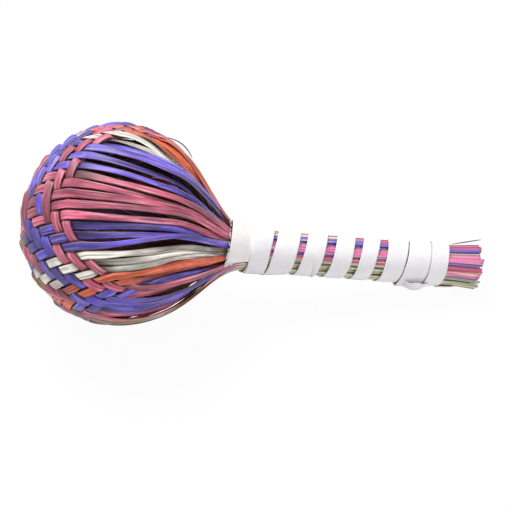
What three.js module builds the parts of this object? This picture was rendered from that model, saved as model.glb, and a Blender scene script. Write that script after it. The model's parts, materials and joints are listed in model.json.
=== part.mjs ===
// Hand rattle: a ball woven from dyed palm splints, whose free ends are bound with cloth tape into the
// handle. Millimetres. The rattle's own frame has the ball's centre at the origin, the handle along +X and
// the pole of the weave at -X. The finished rattle lies on a table, +Z up, on its ball and on the butt of
// its handle.
import * as THREE from 'three';

// Driving dimensions
const BALL_RADIUS = 50; // to the middle of the weave
const NECK_LENGTH = 14; // from the ball's surface to where the bundle runs straight
const HANDLE_LENGTH = 126; // of the straight bundle
const HANDLE_OFFSET = 7.4; // of the handle's axis from the ball's middle
const OFFSET_AZIMUTH = THREE.MathUtils.degToRad(106);
const WARPS = 24; // splints that run one way across the pole
const WEFTS = 17; // splints that cross them
const FLOAT = 2; // a splint passes over this many others, then under as many
const SPLINT_WIDTH = 4.5;
const SPLINT_SPACING = 0.9; // between two splints that lie side by side in the weave
const SPLINT_THICKNESS = 0.45;
const WEAVE_GAP = 0.35; // between two splints where one passes over the other
const BEND_MARGIN = 0.08; // a splint starts to bend this far past the edge of the splint that it crosses
const FREE_GAP = 0.35; // between two free splints at the ball's shoulder
const SHOULDER_ANGLE = THREE.MathUtils.degToRad(112); // from the pole, where the free splints lie in layers
const SHOULDER_MARGIN = THREE.MathUtils.degToRad(8); // least turn from the weave's corner to the shoulder
const SHOULDER_REACH = 24; // how far the ball's curve carries on past the shoulder
const NECK_REACH = 14; // how far the handle's line carries on before the neck
const NECK_STAGGER = 1; // each inner layer turns into the handle this much sooner
const FOLDED_WIDTH = 2.4; // of a splint folded lengthwise in the handle
const FOLDED_THICKNESS = 0.95;
const BUNDLE_GAP = 0.3; // between the splints in the handle
const BUNDLE_LAYERS = 6;
const BUTT_SPREAD = 1.14; // the cut ends splay out by this factor
const TAPE_WIDTH = 10.2;
const TAPE_THICKNESS = 0.5;
const TAPE_CLEARANCE = 0.3; // from the tape to the bundle
const TAPE_SELF_GAP = 0.5; // between two turns where one lies over the other
const TAPE_LEAD = 7.6; // the tape starts this far up the neck
const TAPE_CLIMB = 0.4; // most that the tape's edge rises in one step
const TAPE_START = THREE.MathUtils.degToRad(46); // azimuth of the tape's first end
const BARE_END = 15.4; // of the bundle, past the tape
const HEAD_TURNS = 2;
const HEAD_PITCH = 6.4;
const BODY_PITCH = 13; // about, so that whole turns fill the handle
const TAIL_TURNS = 1.85;
const TAIL_PITCH = 9.2;
const SEEDS = 7;
const SEED_LENGTH = 8.6;
const SEED_BREADTH = 7.4;
const SEED_HEIGHT = 6.8;
const SEED_SPACING = 11;
const SEED_CLEARANCE = 0.3;
const ROLL = THREE.MathUtils.degToRad(118); // turn of the ball about the handle, as it lies

// Fineness of the facets and of the searches
const FREE_STEP = THREE.MathUtils.degToRad(20);
const NECK_STEPS = 5;
const TAPE_STEPS = 24; // in each turn
const BUNDLE_SEARCH_STEP = 0.075;
const GAP_SAMPLES = 40; // across the tape
const SKIN_SAMPLES = 4; // across and along each facet of a splint
const DROOP_HALVINGS = 24;
const SAME_LINE = 1e-6; // two distances closer than this are the same line of the weave

const pitch = SPLINT_WIDTH + SPLINT_SPACING;
const halfWidth = SPLINT_WIDTH / 2;
const bendHalf = halfWidth + BEND_MARGIN;
const layerStep = SPLINT_THICKNESS + WEAVE_GAP;
const waveHeight = layerStep / 2;
const gripX = BALL_RADIUS + NECK_LENGTH;
const buttX = gripX + HANDLE_LENGTH;
const tapeEndX = buttX - BARE_END;
const families = [WARPS, WEFTS];
const ends = 2 * (WARPS + WEFTS);
const endAngle = 2 * Math.PI / ends;
const firstAzimuth = -WARPS / 2 * endAngle;
const AXIS = new THREE.Vector3(1, 0, 0);

const { clamp, lerp } = THREE.MathUtils;
const smooth = (t) => THREE.MathUtils.smoothstep(t, 0, 1);
const strand = (index, count) => (index - (count - 1) / 2) * pitch;

// A closed solid through a row of rings that have the same number of corners
function skin(rings) {
  const corners = rings[0].length;
  const faces = [];
  for (let i = 0; i + 1 < rings.length; i++) {
    for (let c = 0; c < corners; c++) {
      const near = i * corners + c;
      const next = i * corners + (c + 1) % corners;
      faces.push(near, next, next + corners, near, next + corners, near + corners);
    }
  }
  const last = (rings.length - 1) * corners;
  for (let c = 1; c + 1 < corners; c++) {
    faces.push(0, c + 1, c, last, last + c, last + c + 1);
  }
  const solid = new THREE.BufferGeometry().setFromPoints(rings.flat());
  solid.setIndex(faces);
  return solid;
}

// The distances from the weave's middle at which a splint has an edge, a bend or a neighbour's middle
function netLines() {
  const offsets = [-bendHalf, -halfWidth, halfWidth, bendHalf, pitch / 2];
  const distances = families.flatMap((count) => {
    return Array.from({ length: count }, (_, k) => offsets.map((offset) => strand(k, count) + offset)).flat();
  });
  const sorted = [0, ...distances.filter((distance) => distance > SAME_LINE)].sort((a, b) => a - b);
  return sorted.filter((distance, i) => i === 0 || distance - sorted[i - 1] > SAME_LINE);
}

// The weave is a mat draped on the ball: a net whose lines keep their spacing along each other. Its two
// middle lines are great circles through the pole, and each further point closes a small rhombus.
function drapedNet() {
  const lines = netLines();
  const net = lines.map(() => []);
  lines.forEach((distance, i) => {
    const angle = distance / BALL_RADIUS;
    net[i][0] = new THREE.Vector3(-Math.cos(angle), Math.sin(angle), 0);
    net[0][i] = new THREE.Vector3(-Math.cos(angle), 0, Math.sin(angle));
  });
  for (let i = 1; i < lines.length; i++) {
    for (let j = 1; j < lines.length; j++) {
      const back = net[i - 1][j - 1];
      const middle = net[i][j - 1].clone().add(net[i - 1][j]).normalize();
      net[i][j] = middle.multiplyScalar(2 * middle.dot(back)).sub(back);
    }
  }
  const line = (distance) => lines.findIndex((value) => Math.abs(value - Math.abs(distance)) < SAME_LINE);
  return (u, v) => {
    const point = net[line(u)][line(v)];
    return new THREE.Vector3(point.x, Math.sign(u) * point.y, Math.sign(v) * point.z);
  };
}

const netPoint = drapedNet();

// Where a splint leaves the weave: its angle from the pole, its azimuth, how that changes, and its width
function weaveExit(family, index) {
  const others = families[1 - family];
  const edge = strand(others - 1, others);
  const place = strand(index, families[family]);
  const edges = (u) => [-halfWidth, halfWidth].map((offset) => netPoint(u, place + offset));
  const [before, at] = [edge - bendHalf, edge + bendHalf].map((u) => {
    const [low, high] = edges(u);
    return low.add(high).normalize();
  });
  const polar = (middle) => Math.acos(-middle.x);
  const azimuth = (middle) => Math.atan2(middle.z, middle.y);
  const travel = at.clone().sub(before).normalize();
  const [low, high] = edges(edge + bendHalf);
  return {
    polar: polar(at),
    azimuth: azimuth(at),
    slope: (azimuth(at) - azimuth(before)) / (polar(at) - polar(before)),
    width: BALL_RADIUS * high.sub(low).cross(travel).length(),
  };
}

const cornerPolars = families.map((count, family) => weaveExit(family, count - 1).polar);
const shoulderPolar = Math.max(SHOULDER_ANGLE, ...cornerPolars.map((polar) => polar + SHOULDER_MARGIN));
const shoulderX = -BALL_RADIUS * Math.cos(shoulderPolar);
const freeWidth = BALL_RADIUS * Math.sin(shoulderPolar) * endAngle - FREE_GAP;

// The handle's axis passes the ball's centre on one side, so the neck and the handle are moved over
function movedOver(rings, turned) {
  const azimuth = OFFSET_AZIMUTH - turned;
  const aside = new THREE.Vector3(0, Math.cos(azimuth), Math.sin(azimuth));
  const shift = (x) => HANDLE_OFFSET * THREE.MathUtils.smoothstep(x, shoulderX, gripX);
  return rings.map((ring) => ring.map((point) => point.clone().addScaledVector(aside, shift(point.x))));
}

// The splint ends fill the handle in rings, opened from the middle until they hold every end
function bundleRings() {
  const reach = (radius) => Math.hypot(radius + FOLDED_THICKNESS / 2, FOLDED_WIDTH / 2);
  const room = (radius) => {
    const half = Math.atan2((FOLDED_WIDTH + BUNDLE_GAP) / 2, radius - FOLDED_THICKNESS / 2);
    return Math.floor(Math.PI / half);
  };
  for (let core = FOLDED_THICKNESS; ; core += BUNDLE_SEARCH_STEP) {
    const radii = [core];
    while (radii.length < BUNDLE_LAYERS) {
      radii.push(reach(radii.at(-1)) + BUNDLE_GAP + FOLDED_THICKNESS / 2);
    }
    const rooms = radii.map(room);
    if (rooms.reduce((sum, count) => sum + count) >= ends) {
      return { radii: radii.toReversed(), rooms: rooms.toReversed(), reach: reach(radii.at(-1)) };
    }
  }
}

const bundle = bundleRings();

// Each end's layer, the outermost first, and its azimuth in the handle. Every layer is filled all round.
function handleSlots() {
  let left = ends;
  const shares = bundle.rooms.map((room) => {
    const share = Math.min(room, left);
    left -= share;
    return share;
  });
  const taken = shares.map(() => 0);
  return Array.from({ length: ends }, (_, end) => {
    const wants = shares.map((share, layer) => share * (end + 1) / ends - taken[layer]);
    const layer = wants.indexOf(Math.max(...wants));
    taken[layer] += 1;
    return { layer, azimuth: firstAzimuth + (taken[layer] - 0.5) / shares[layer] * 2 * Math.PI };
  });
}

const slots = handleSlots();

// The middle line of a layer, as x along the handle and y away from its axis, from the shoulder to the handle
function neckCurve(layer) {
  const out = new THREE.Vector2(-Math.cos(shoulderPolar), Math.sin(shoulderPolar));
  const along = new THREE.Vector2(out.y, -out.x);
  const start = out.clone().multiplyScalar(BALL_RADIUS - layer * layerStep);
  const end = new THREE.Vector2(gripX, bundle.radii[layer]);
  return new THREE.CubicBezierCurve(
    start,
    start.clone().addScaledVector(along, SHOULDER_REACH),
    new THREE.Vector2(gripX - NECK_REACH - layer * NECK_STAGGER, end.y),
    end,
  );
}

const neckCurves = bundle.radii.map((_, layer) => neckCurve(layer));

// The size of a splint's section at a share of the way from the shoulder to the handle
const neckWidth = (share) => lerp(freeWidth, FOLDED_WIDTH, smooth(share));
const neckThickness = (share) => lerp(SPLINT_THICKNESS, FOLDED_THICKNESS, smooth(share));

// A free splint's section. Its middle and its outward normal have x along the handle and y off its axis.
function freeSection(middle, normal, azimuth, width, thickness, side) {
  const lift = new THREE.Vector3(0, Math.cos(azimuth), Math.sin(azimuth));
  const across = new THREE.Vector3().crossVectors(AXIS, lift).multiplyScalar(side);
  const centre = lift.clone().multiplyScalar(middle.y).addScaledVector(AXIS, middle.x);
  const outward = lift.clone().multiplyScalar(normal.y).addScaledVector(AXIS, normal.x);
  const corners = [[-0.5, 0.5], [0.5, 0.5], [0.5, -0.5], [-0.5, -0.5]];
  return corners.map(([w, t]) => {
    return centre.clone().addScaledVector(across, w * width).addScaledVector(outward, t * thickness);
  });
}

// The sections of one free end: over the ball to the shoulder, round the neck and along the handle
function freeEnd(family, index, side, startHeight) {
  const order = side > 0 ? index : ends / 2 + families[family] - 1 - index;
  const end = family * WARPS + order;
  const turned = family * Math.PI / 2;
  const aim = firstAzimuth + (end + 0.5) * endAngle - turned;
  const { layer, azimuth: slotAzimuth } = slots[end];
  const grip = slotAzimuth - turned;
  const exit = weaveExit(family, index);
  const mirrored = side > 0 ? 0 : Math.PI;
  const exitAzimuth = mirrored + side * exit.azimuth;
  const exitSlope = side * exit.slope;
  const sections = [];

  const span = shoulderPolar - exit.polar;
  const freeSteps = Math.ceil(span / FREE_STEP);
  const drift = aim - exitAzimuth;
  for (let i = 1; i <= freeSteps; i++) {
    const s = i / freeSteps;
    const polar = exit.polar + s * span;
    const azimuth = exitAzimuth + smooth(s) * drift + s * (1 - s) ** 2 * exitSlope * span;
    const out = new THREE.Vector2(-Math.cos(polar), Math.sin(polar));
    const radius = BALL_RADIUS + lerp(startHeight, -layer * layerStep, smooth(s));
    const middle = out.clone().multiplyScalar(radius);
    const width = lerp(exit.width, freeWidth, smooth(s));
    sections.push(freeSection(middle, out, azimuth, width, SPLINT_THICKNESS, side));
  }

  for (let i = 1; i <= NECK_STEPS; i++) {
    const share = i / NECK_STEPS;
    const along = neckCurves[layer].getTangent(share);
    const normal = new THREE.Vector2(-along.y, along.x);
    const azimuth = lerp(aim, grip, smooth(share));
    const middle = neckCurves[layer].getPoint(share);
    sections.push(freeSection(middle, normal, azimuth, neckWidth(share), neckThickness(share), side));
  }

  const upright = new THREE.Vector2(0, 1);
  for (const [x, spread] of [[tapeEndX, 1], [buttX, BUTT_SPREAD]]) {
    const middle = new THREE.Vector2(x, bundle.radii[layer] * spread);
    sections.push(freeSection(middle, upright, grip, FOLDED_WIDTH, FOLDED_THICKNESS, side));
  }
  return sections;
}

// The weave is a pointed twill: its steps turn back at the middle of the warp
function warpIsOver(warp, weft) {
  const step = Math.floor(Math.abs(warp - (WARPS - 1) / 2)) + weft;
  return step % (2 * FLOAT) < FLOAT;
}

// One splint: out of the handle, over and under the other family across the pole, and back into the handle
function splint(family, index) {
  const others = families[1 - family];
  const place = strand(index, families[family]);
  const rises = (crossing) => {
    return family === 0 ? warpIsOver(index, WEFTS - 1 - crossing) : !warpIsOver(crossing, index);
  };
  const height = (crossing) => (rises(crossing) ? waveHeight : -waveHeight);
  const section = (u, crossing) => {
    const [low, high] = [-halfWidth, halfWidth].map((offset) => netPoint(u, place + offset));
    const outer = BALL_RADIUS + height(crossing) + SPLINT_THICKNESS / 2;
    const inner = outer - SPLINT_THICKNESS;
    const corners = [[low, outer], [high, outer], [high, inner], [low, inner]];
    return corners.map(([direction, radius]) => direction.clone().multiplyScalar(radius));
  };
  const woven = [];
  for (let crossing = 0; crossing < others; crossing++) {
    const u = strand(crossing, others);
    if (crossing === 0 || rises(crossing) !== rises(crossing - 1)) {
      woven.push(section(u - bendHalf, crossing));
    }
    const floatsOn = crossing + 1 < others && rises(crossing) === rises(crossing + 1);
    woven.push(section(floatsOn ? u + pitch / 2 : u + bendHalf, crossing));
  }
  const near = freeEnd(family, index, -1, height(0)).reverse();
  const far = freeEnd(family, index, 1, height(others - 1));
  return skin(movedOver([...near, ...woven, ...far], family * Math.PI / 2));
}

// The outside of the bundle at x: the outer layer's facets round the neck, then the straight handle
function bundleRadius(x) {
  const profile = [];
  for (let i = 0; i <= NECK_STEPS; i++) {
    const share = i / NECK_STEPS;
    const middle = neckCurves[0].getPoint(share);
    const top = middle.y + neckThickness(share);
    profile.push(new THREE.Vector2(middle.x, Math.hypot(top, neckWidth(share) / 2)));
  }
  profile.push(new THREE.Vector2(tapeEndX, bundle.reach));
  const next = clamp(profile.findIndex((point) => point.x > x), 1, profile.length - 1);
  const [from, to] = [profile[next - 1], profile[next]];
  return lerp(from.y, to.y, clamp((x - from.x) / (to.x - from.x), 0, 1));
}

// The tape's path: where its leading edge is after so many turns, and how many turns there are
function tapePath() {
  const start = gripX - TAPE_LEAD;
  const bodyLength = tapeEndX - TAPE_WIDTH - start - HEAD_TURNS * HEAD_PITCH - TAIL_TURNS * TAIL_PITCH;
  const bodyTurns = Math.max(1, Math.round(bodyLength / BODY_PITCH));
  const bodyPitch = bodyLength / bodyTurns;
  const edge = (turn) => {
    const body = clamp(turn - HEAD_TURNS, 0, bodyTurns);
    const tail = Math.max(0, turn - HEAD_TURNS - bodyTurns);
    return start + Math.min(turn, HEAD_TURNS) * HEAD_PITCH + body * bodyPitch + tail * TAIL_PITCH;
  };
  return { edge, turns: HEAD_TURNS + bodyTurns + TAIL_TURNS };
}

// How high a tape's first edge has to lift so that the tape clears an earlier turn below it
function tapeLift(band, earlier) {
  if (band.from > earlier.to + TAPE_SELF_GAP) {
    return 0;
  }
  const clearance = TAPE_THICKNESS + TAPE_SELF_GAP;
  const crest = earlier.low + clearance;
  const lever = (band.to - band.from) / (band.to - earlier.to - TAPE_SELF_GAP);
  const overCrest = band.low + (crest - band.low) * lever;
  const share = (band.from - earlier.from) / (earlier.to - earlier.from);
  const overEarlier = lerp(earlier.high, earlier.low, share) + clearance;
  return Math.max(0, overCrest - band.high, overEarlier - band.high);
}

// The tape's section at each step: from and to along the handle, with the inner radius at each edge
function tapeBands() {
  const { edge, turns } = tapePath();
  const bands = [];
  for (let i = 0; i <= turns * TAPE_STEPS; i++) {
    const from = edge(i / TAPE_STEPS);
    const to = from + TAPE_WIDTH;
    const base = bundleRadius(from) + TAPE_CLEARANCE;
    const band = { from, to, base, high: base, low: bundleRadius(to) + TAPE_CLEARANCE };
    const earlier = [bands[i - TAPE_STEPS], bands[i - 2 * TAPE_STEPS]].filter(Boolean);
    const lifts = earlier.map((other) => tapeLift(band, other));
    const before = bands.length ? bands.at(-1).high - bands.at(-1).base - TAPE_CLIMB : 0;
    band.high += Math.max(0, before, ...lifts);
    bands.push(band);
    for (let back = 1; back < TAPE_STEPS / 2 && back <= i; back++) {
      const other = bands[i - back];
      other.high = Math.max(other.high, other.base + band.high - band.base - back * TAPE_CLIMB);
    }
  }
  return bands;
}

// The least distance between each turn's inner side and the outer side of the turn before it, on close points
function tapeSelfGap(bands) {
  let least = Infinity;
  for (let i = TAPE_STEPS; i < bands.length; i++) {
    const earlier = bands[i - TAPE_STEPS];
    for (let a = 0; a <= GAP_SAMPLES; a++) {
      const x = lerp(bands[i].from, bands[i].to, a / GAP_SAMPLES);
      const inner = lerp(bands[i].high, bands[i].low, a / GAP_SAMPLES);
      for (let b = 0; b <= GAP_SAMPLES; b++) {
        const away = x - lerp(earlier.from, earlier.to, b / GAP_SAMPLES);
        const outer = lerp(earlier.high, earlier.low, b / GAP_SAMPLES) + TAPE_THICKNESS;
        const nearest = clamp(inner, outer - TAPE_THICKNESS, outer);
        least = Math.min(least, Math.hypot(away, inner - nearest));
      }
    }
  }
  return least;
}

function gripTape() {
  const bands = tapeBands();
  console.log(`Least gap of the grip tape to itself: ${tapeSelfGap(bands).toFixed(2)} mm`);
  const rings = bands.map((band, i) => {
    const angle = TAPE_START - i / TAPE_STEPS * 2 * Math.PI;
    const corners = [
      [band.from, band.high],
      [band.from, band.high + TAPE_THICKNESS],
      [band.to, band.low + TAPE_THICKNESS],
      [band.to, band.low],
    ];
    return corners.map(([x, r]) => new THREE.Vector3(x, r * Math.cos(angle), r * Math.sin(angle)));
  });
  return skin(movedOver(rings, 0));
}

// Finishes, and the dyes of the splints in the order in which they lie
const SPLINT_ROUGHNESS = 0.5;
const TAPE_FINISH = { color: 0xf2f0ee, roughness: 0.9 };
const SEED_FINISH = { color: 0xd8c49a, roughness: 0.6 };
const DYES = { rose: 0xcc6b85, violet: 0x7366cc, orange: 0xe06640, pale: 0xd9dbcc, gold: 0x997338 };
const WARP_DYES = [
  ...['orange', 'orange', 'orange', 'pale', 'pale', 'violet', 'violet', 'violet'],
  ...['violet', 'rose', 'rose', 'rose', 'rose', 'rose', 'violet', 'violet'],
  ...['violet', 'pale', 'pale', 'pale', 'orange', 'orange', 'violet', 'violet'],
];
const WEFT_DYES = [
  ...['rose', 'rose', 'rose', 'violet', 'violet', 'violet', 'rose', 'rose', 'gold'],
  ...['rose', 'violet', 'rose', 'pale', 'orange', 'violet', 'violet', 'gold'],
];

function named(name, geometry, finish) {
  geometry.computeVertexNormals();
  const mesh = new THREE.Mesh(geometry, new THREE.MeshStandardMaterial({ ...finish, metalness: 0 }));
  mesh.name = name;
  return mesh;
}

const twoDigits = (number) => String(number).padStart(2, '0');

function splintFamily(family, label, dyes) {
  const group = new THREE.Group();
  for (let i = 0; i < families[family]; i++) {
    const finish = { color: DYES[dyes[i % dyes.length]], roughness: SPLINT_ROUGHNESS };
    group.add(named(`${label}_splint_${twoDigits(i + 1)}`, splint(family, i), finish));
  }
  group.rotation.x = family * Math.PI / 2;
  return group;
}

const woven = new THREE.Group();
woven.add(splintFamily(0, 'warp', WARP_DYES), splintFamily(1, 'weft', WEFT_DYES));
woven.add(named('grip_tape', gripTape(), TAPE_FINISH));
woven.rotation.x = ROLL;

const tilted = new THREE.Group();
tilted.add(woven);

// Points on every splint's skin, close enough to set other pieces against it
function splintPoints() {
  const points = [];
  const shares = Array.from({ length: SKIN_SAMPLES + 1 }, (_, i) => i / SKIN_SAMPLES);
  tilted.updateMatrixWorld(true);
  tilted.traverse((mesh) => {
    if (!mesh.isMesh || mesh.name === 'grip_tape') {
      return;
    }
    const places = mesh.geometry.getAttribute('position');
    const corner = (i) => new THREE.Vector3().fromBufferAttribute(places, i).applyMatrix4(mesh.matrixWorld);
    for (let i = 0; i + 7 < places.count; i += 4) {
      for (const [left, right] of [[0, 1], [3, 2]]) {
        for (const along of shares) {
          const one = corner(i + left).lerp(corner(i + left + 4), along);
          const two = corner(i + right).lerp(corner(i + right + 4), along);
          points.push(...shares.map((across) => one.clone().lerp(two, across)));
        }
      }
    }
  });
  return points;
}

// The droop at which the ball and the butt of the handle both touch the table
function restingDroop() {
  const points = splintPoints();
  const lowest = (droop, isHandle) => {
    const heights = points.filter((p) => (p.x > gripX) === isHandle)
      .map((p) => p.z * Math.cos(droop) - p.x * Math.sin(droop));
    return heights.reduce((low, z) => Math.min(low, z));
  };
  let [level, steep] = [0, Math.PI / 4];
  for (let i = 0; i < DROOP_HALVINGS; i++) {
    const middle = (level + steep) / 2;
    if (lowest(middle, true) > lowest(middle, false)) {
      level = middle;
    } else {
      steep = middle;
    }
  }
  return steep;
}

tilted.rotation.y = restingDroop();

const rattle = new THREE.Group();
rattle.add(tilted);

// The seeds lie loose in the bottom of the ball, one in the middle and the others round it
function addSeeds() {
  const points = splintPoints();
  for (let i = 0; i < SEEDS; i++) {
    const angle = (i - 1) / (SEEDS - 1) * 2 * Math.PI;
    const offset = i > 0 ? SEED_SPACING : 0;
    const place = new THREE.Vector3(offset * Math.cos(angle), offset * Math.sin(angle), 0);
    const half = new THREE.Vector3(SEED_LENGTH, SEED_BREADTH, SEED_HEIGHT).divideScalar(2);
    const room = half.clone().addScalar(SEED_CLEARANCE);
    let floor = -Infinity;
    for (const point of points) {
      const off = ((point.x - place.x) / room.x) ** 2 + ((point.y - place.y) / room.y) ** 2;
      if (point.z < 0 && off < 1) {
        floor = Math.max(floor, point.z + room.z * Math.sqrt(1 - off));
      }
    }
    place.z = floor;
    const seed = new THREE.IcosahedronGeometry(1, 1).scale(half.x, half.y, half.z);
    const mesh = named(`seed_${i + 1}`, seed, SEED_FINISH);
    mesh.position.copy(place);
    rattle.add(mesh);
  }
}

addSeeds();

// The origin is under the middle of the rattle's box, on the table
const box = new THREE.Box3().setFromObject(rattle, true);
const centre = box.getCenter(new THREE.Vector3());
rattle.position.set(-centre.x, -centre.y, -box.min.z);

export default rattle;
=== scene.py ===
# The looks of a hand rattle: a ball woven from dyed palm splints, with a handle bound in white cloth tape.
# Metres. The rattle's own frame has the ball's centre at the origin, the handle along +X and the pole of the
# weave at -X. to_table() lays points of that frame on the table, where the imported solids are.
import json
import math

import bpy
import numpy as np
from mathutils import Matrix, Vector


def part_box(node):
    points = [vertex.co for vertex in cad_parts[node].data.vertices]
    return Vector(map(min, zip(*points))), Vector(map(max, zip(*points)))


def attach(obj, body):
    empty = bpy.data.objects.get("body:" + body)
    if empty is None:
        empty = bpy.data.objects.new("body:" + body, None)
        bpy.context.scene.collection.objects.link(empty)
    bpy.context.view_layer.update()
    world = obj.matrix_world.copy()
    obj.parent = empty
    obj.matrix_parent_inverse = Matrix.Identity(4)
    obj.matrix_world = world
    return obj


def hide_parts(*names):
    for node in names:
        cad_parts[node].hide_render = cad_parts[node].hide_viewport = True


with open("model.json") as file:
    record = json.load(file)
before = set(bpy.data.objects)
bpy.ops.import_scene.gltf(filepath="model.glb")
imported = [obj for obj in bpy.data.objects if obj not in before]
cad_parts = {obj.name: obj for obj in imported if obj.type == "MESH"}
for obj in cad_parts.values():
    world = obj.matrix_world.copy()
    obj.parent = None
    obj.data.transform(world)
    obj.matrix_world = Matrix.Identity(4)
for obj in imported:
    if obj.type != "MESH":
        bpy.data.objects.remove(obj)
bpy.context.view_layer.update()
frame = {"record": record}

MM = 0.001
DEGREE = math.pi / 180

# Sizes of the rattle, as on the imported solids
BALL_RADIUS = 50 * MM
BALL_HEIGHT = 50.13 * MM  # of the ball's centre over the table
NECK_LENGTH = 14 * MM
HANDLE_LENGTH = 126 * MM
HANDLE_OFFSET = 7.4 * MM
OFFSET_AZIMUTH = 106 * DEGREE
COUNTS = (24, 17)  # warp splints, and the weft splints that cross them
FLOAT = 2  # a splint passes over so many and under so many
SPLINT_WIDTH = 4.5 * MM
SPLINT_SPACING = 0.9 * MM
BEND_HALF = 2.33 * MM
SHOULDER_ANGLE = 112 * DEGREE
SHOULDER_MARGIN = 8 * DEGREE
SHOULDER_REACH = 24 * MM
NECK_REACH = 14 * MM
NECK_STAGGER = 1 * MM
LAYER_STEP = 0.8 * MM
FOLDED_WIDTH = 2.4 * MM
FOLDED_THICKNESS = 0.95 * MM
BUNDLE_GAP = 0.3 * MM
BUNDLE_LAYERS = 6
BUNDLE_SEARCH_STEP = 0.075 * MM
BUTT_SPREAD = 1.14
BARE_END = 15.4 * MM
ROLL = 118 * DEGREE

# Sizes of the winding
TAPE_WIDTH = 10.2 * MM
TAPE_THICKNESS = 0.5 * MM
TAPE_CLEARANCE = 0.3 * MM
TAPE_SELF_GAP = 0.5 * MM
TAPE_LEAD = 7.6 * MM
TAPE_START = 46 * DEGREE
HEAD_TURNS = 2
HEAD_PITCH = 6.4 * MM
BODY_PITCH = 13 * MM
TAIL_TURNS = 1.85
TAIL_PITCH = 9.2 * MM
TAPE_ROWS = 72  # in each turn
TAPE_COLUMNS = 17
CLOTH = 0.36 * MM
CLOTH_UNEVENNESS = 0.45 * MM
CLOTH_GRAIN = 200.0
# How far each turn is shifted from an even winding, and how wide its band is pulled, in millimetres
BAND_SHIFTS = (-4.3, 1.8, -5.2, -6.8, -3.9, -1.3, -0.4, 0.8, -1.4, 2.1, 2)
BAND_WIDTHS = (13, 10, 9.8, 12.3, 10.5, 10, 8.5, 10.2, 12.9, 9.4, 9.4)
HALF_LAP = 0.5  # a band that covers more of the one below than this rises onto it
LAP_BLEND = 0.4
HEAD_FLARE = 0.8 * MM  # the first bands lie on the spreading neck
FLARE_TURNS = 2.4
FLARE_FALL = 0.6  # share of the flare that is left at a band's other edge
EDGE_WAVER = 0.3 * MM
EDGE_WAVE = 50 * MM
TAPE_CROWN = 0.12 * MM
TAPE_PLEAT = 0.06 * MM
TAPE_PLEAT_WAVE = 120 * MM
CREAM_TURNS = 0.5  # the first band is creamier up to here
CREAM_BLEND = 0.1
THREAD_STEP = 0.55 * MM  # of the tape's weave
SPLICE_TURNS = (3.82, 4.36)  # between these turns a second layer lies on the tape
SPLICE_SLANT = (0.94, 0.08)  # its slanted edge, as shares of the tape's width
SPLICE_SIDE = 0.985
TUCK_TURN = 7.836  # the tape's tail is tucked under itself here, below the handle
TUCK_TURNS = 0.045
TUCK_LIFT = 1.6 * MM  # which raises the tape
TUCK_SPAN = (147 * MM, 161 * MM)  # and its loop hangs here
TUCK_HEIGHT = 3.2 * MM
TUCK_ROUND = 0.8  # rounder than a plain arch
TUCK_WIDTH = 8 * MM
TUCK_TAPER = 0.75  # share of its width at both ends
TUCK_AZIMUTH = 83 * DEGREE
TUCK_WAVER = 4 * DEGREE
TUCK_CROWN = 0.5 * MM
TUCK_PLEAT = 0.15 * MM
CUT_THREADS = 44  # frayed out of the tape's cut end
EDGE_THREADS = 60  # and out of its leading edge
EDGE_TURN = 0.24  # up to this turn
THREAD_THICKNESS = 0.32 * MM

# How the real splints differ from the plain solids
SKIN = 0.3 * MM  # thickness of a splint
SKIN_UNEVENNESS = 0.16 * MM
SKIN_GRAIN = 240.0  # the scale of its unevenness
GRAIN_SPAN = 4 * MM  # the unevenness is read over this much across a ribbon
WAVE = 0.85 * MM  # how far a splint rises over the one that it crosses
DIP = 0.4  # it sinks by less, so that the chamber stays clear
UNDERSIDE_RISE = 0.15  # where it lies on the table it is pressed flatter
CORNER_LIFT = 1.4  # the weave's loose corners rise by this much more
FLOAT_ARCH = 0.5 * MM
BEND_LENGTH = 2.8 * MM  # a splint takes this far to pass from over to under
WOVEN_WIDTH = 4.4 * MM
WOVEN_SQUEEZE = 0.8  # how much it narrows where the weave is sheared
UNDERSIDE_WOVEN = 5.4 * MM
FREE_WIDTH = 3.3 * MM
UNDERSIDE_WIDTH = 5.4 * MM  # of the free splints on the side that it lies on, which spread to close the ball
UNDERSIDE_LOOSE = 0.12  # and lie closer
UPPER_AZIMUTH = 15 * DEGREE  # the middle of the upper side
UPPER_BLEND = 0.4  # the side below blends into it over this much, from one of the next values on
UPPER_START = 0.15
RISE_START = -0.3
WIDTH_START = 0.35
TAUT_START = 0.38
NECK_WIDTH = 3.6 * MM
GRIP_WIDTH = 3 * MM
WOVEN_CROWN = 0.2 * MM
GRIP_CROWN = 0.4 * MM
GRIP_PLEAT = 0.16 * MM  # depth of the lengthwise folds where the ends are bound together
FLAT_TWIST = 5 * DEGREE
CORNER_TWIST = 60 * DEGREE
WEFT_TWIST = -26 * DEGREE  # a weft splint comes up edge first and then lies down
WEFT_COMES_UP = 4  # as powers of its way along a float
WEFT_LIES_DOWN = 1.3
WEFT_WAVER = 0.5
WEFT_WAVE = 60 * MM
TWIST_LIFT = 0.6  # how much of its raised edge lifts a twisted splint
SHADED_FROM = -0.5  # a splint gets painted shade where it lies under others, up to this height in the weave
SHADED_BLEND = 1.4
# painted shade on the ends where they near the tape
NECK_SHADE = 0.25
BARE_AZIMUTH = 85 * DEGREE  # about here the splints show their undyed side in the handle
BARE_REACH = 0.4  # as the cosine of the angle from there, like the next reaches
BARE_CHANCES = (0.2, 0.8)  # elsewhere, and there
LOWEST_AZIMUTH = 105 * DEGREE  # and about here at its bare end, and along the neck
LOWEST_REACH = 0.72
UNDYED_REACH = 0.955
STRAY = 7 * DEGREE  # how far a free splint strays over its neighbours
STRAY_LIMIT = 1.8
BOW = 1.2 * DEGREE  # and how far it bows aside on its way
SLACK = 1.4  # 1 for a free splint that runs dead straight to the handle, seen from above
STEEPEST = 0.98  # no nearer to the ball's edge than this, seen from above
MOUTH_TURN = -14 * DEGREE  # the neck is twisted by this much where it enters the tape
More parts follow.
